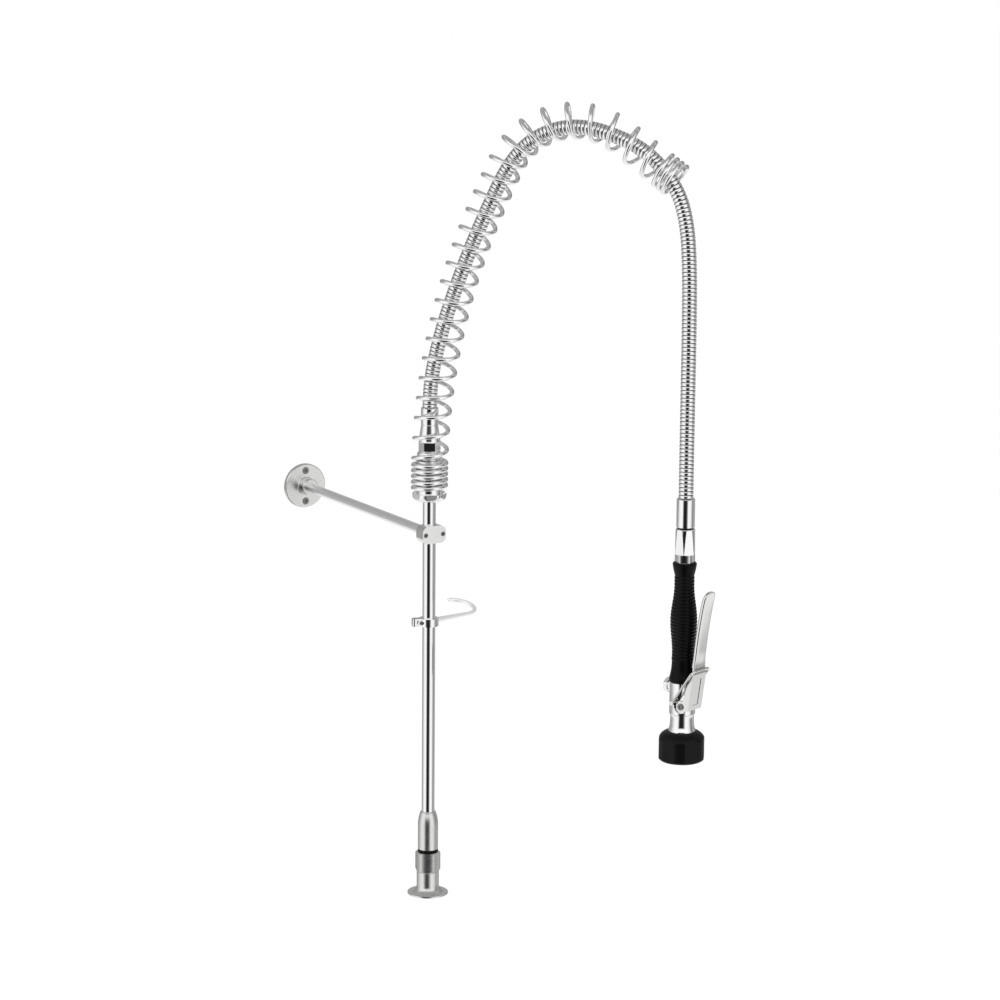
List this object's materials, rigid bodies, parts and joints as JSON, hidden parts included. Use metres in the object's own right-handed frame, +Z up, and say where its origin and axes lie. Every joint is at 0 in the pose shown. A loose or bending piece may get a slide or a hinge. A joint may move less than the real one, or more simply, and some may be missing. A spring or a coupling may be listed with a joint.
{
  "type": "pre rinse faucet",
  "caption": "Deck-mounted pre rinse faucet: riser with wall brace, spring gooseneck, ribbed hose, hook and squeeze-lever spray gun.",
  "frame": {"origin": "centre of the foot's underside, on the axis of the riser and of the inlet thread", "axes": "+Z up the riser, +Y along the wall arm towards the wall, +X to the right when facing the wall"},
  "size_m": [0.3002, 0.7246, 1.123],
  "materials": {
    "polished_steel": "polished",
    "satin_steel": "satin",
    "fastener": "machined",
    "rubber": "moulded",
    "grip_plastic": "ribbed"
  },
  "bodies": {
    "column": {"base_foot": "satin_steel", "riser_rings": "rubber", "base_nut": "satin_steel", "base_gasket": "rubber", "riser_sleeve": "satin_steel", "riser_cap": "satin_steel", "riser_pipe": "polished_steel", "spring_holder": "polished_steel", "hose_nipple": "polished_steel", "union_nut": "polished_steel", "union_washer": "rubber", "upper_ferrule": "polished_steel", "gooseneck_spring": "polished_steel", "hose": "polished_steel"},
    "wall_bracket": {"bracket_front": "satin_steel", "bracket_rear": "satin_steel", "bracket_screws": "fastener", "arm_rod": "satin_steel"},
    "wall_mount": {"wall_flange": "satin_steel", "grub_screw": "fastener", "wall_screws": "fastener"},
    "gun_hook": {"hook_clamp": "polished_steel", "hook_screw": "fastener", "hook_rod": "polished_steel"},
    "hose_end": {"lower_ferrule": "polished_steel", "swivel_seal": "rubber"},
    "spray_gun": {"gun_nut": "polished_steel", "gun_washer": "rubber", "handle_tube": "polished_steel", "grip": "grip_plastic", "valve_body": "polished_steel", "valve_cap": "polished_steel", "stem_ring": "rubber", "valve_spring": "fastener", "pivot_screws": "fastener", "spray_bell": "polished_steel", "spray_bumper": "rubber", "spray_plate": "satin_steel"},
    "squeeze_lever": {"lever": "satin_steel"},
    "valve": {"valve_stem": "satin_steel", "valve_seal": "rubber"},
    "latch": {"bail": "satin_steel"}
  },
  "joints": [
    {"name": "bracket_slide", "type": "slide", "parent": "column", "child": "wall_bracket", "axis": [0, 0, 1], "range_m": [-0.09, 0.03]},
    {"name": "flange_slide", "type": "slide", "parent": "wall_bracket", "child": "wall_mount", "axis": [0, 1, 0], "range_m": [0, 0.012]},
    {"name": "hook_turn", "type": "hinge", "parent": "column", "child": "gun_hook", "pos_m": [0, 0, 0.393], "axis": [0, 0, 1], "continuous": true},
    {"name": "hose_swing", "type": "hinge", "parent": "column", "child": "hose_end", "pos_m": [0.23585, -0.28509, 1], "axis": [-0.7705, -0.6374, 0], "range_deg": [-15, 15], "deforming": ["hose"]},
    {"name": "gun_swivel", "type": "hinge", "parent": "hose_end", "child": "spray_gun", "pos_m": [0.23585, -0.28509, 0.5562], "axis": [0, 0, 1], "continuous": true},
    {"name": "lever_squeeze", "type": "hinge", "parent": "spray_gun", "child": "squeeze_lever", "pos_m": [0.23877, -0.29329, 0.31115], "axis": [-0.9421, -0.3355, 0], "range_deg": [0, 6], "stiffness_Nm_per_rad": 2, "springref_deg": -11.46},
    {"name": "valve_push", "type": "slide", "parent": "spray_gun", "child": "valve", "axis": [-0.3355, 0.9421, 0], "range_m": [0, 0.0026], "deforming": ["valve_spring"]},
    {"name": "bail_swing", "type": "hinge", "parent": "spray_gun", "child": "latch", "pos_m": [0.23484, -0.28226, 0.31515], "axis": [0.9421, 0.3355, 0], "range_deg": [0, 90]}
  ],
  "couplings": [
    {"joint": "valve_push", "follows": "lever_squeeze", "m_per_rad": 0.023}
  ]
}
